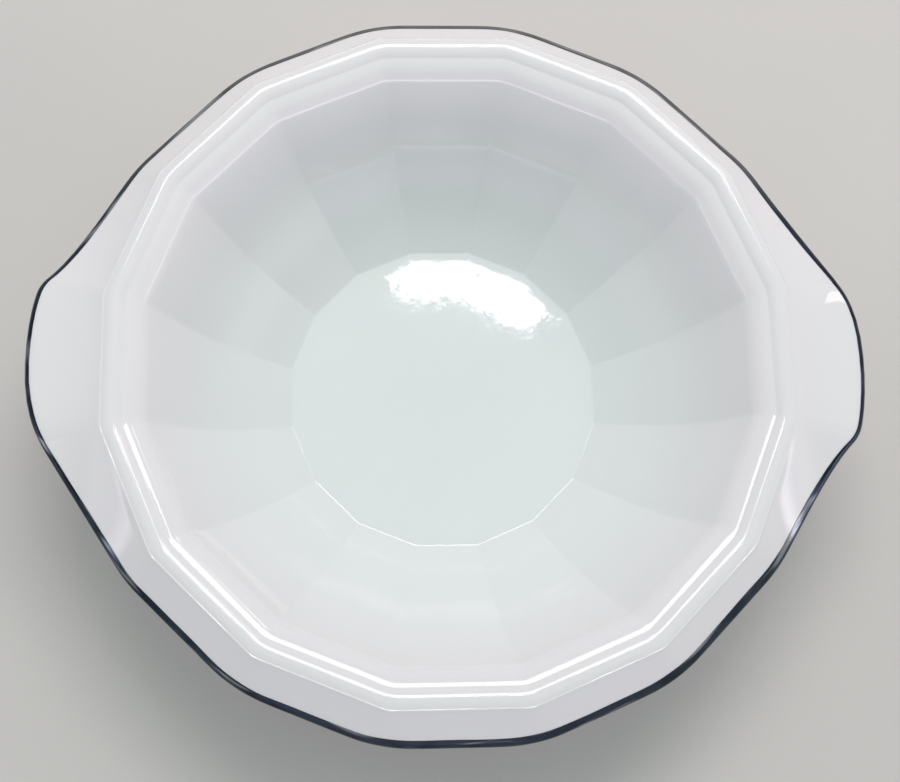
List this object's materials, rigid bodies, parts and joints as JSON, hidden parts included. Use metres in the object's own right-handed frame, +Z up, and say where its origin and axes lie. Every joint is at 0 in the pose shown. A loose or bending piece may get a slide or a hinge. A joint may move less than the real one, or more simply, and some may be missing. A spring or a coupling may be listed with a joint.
{
  "type": "cereal bowl",
  "caption": "Lugged cereal bowl in white glazed porcelain with a flat floor, panelled walls, a bevelled verge, a drooping collar and a fired metal line round the rim.",
  "frame": {"origin": "middle of the standing ring, on the table", "axes": "+Z up out of the bowl, +X from one lug to the other, +Y across the bowl"},
  "size_m": [0.188, 0.1686, 0.045],
  "materials": {
    "biscuit": "bare fired porcelain",
    "glaze": "clear gloss over white",
    "platinum": "bright fired metal"
  },
  "bodies": {
    "root": {"porcelain_body": "biscuit", "inside_glaze": "glaze", "outside_glaze": "glaze", "base_glaze": "glaze", "platinum_band": "platinum"}
  },
  "joints": []
}
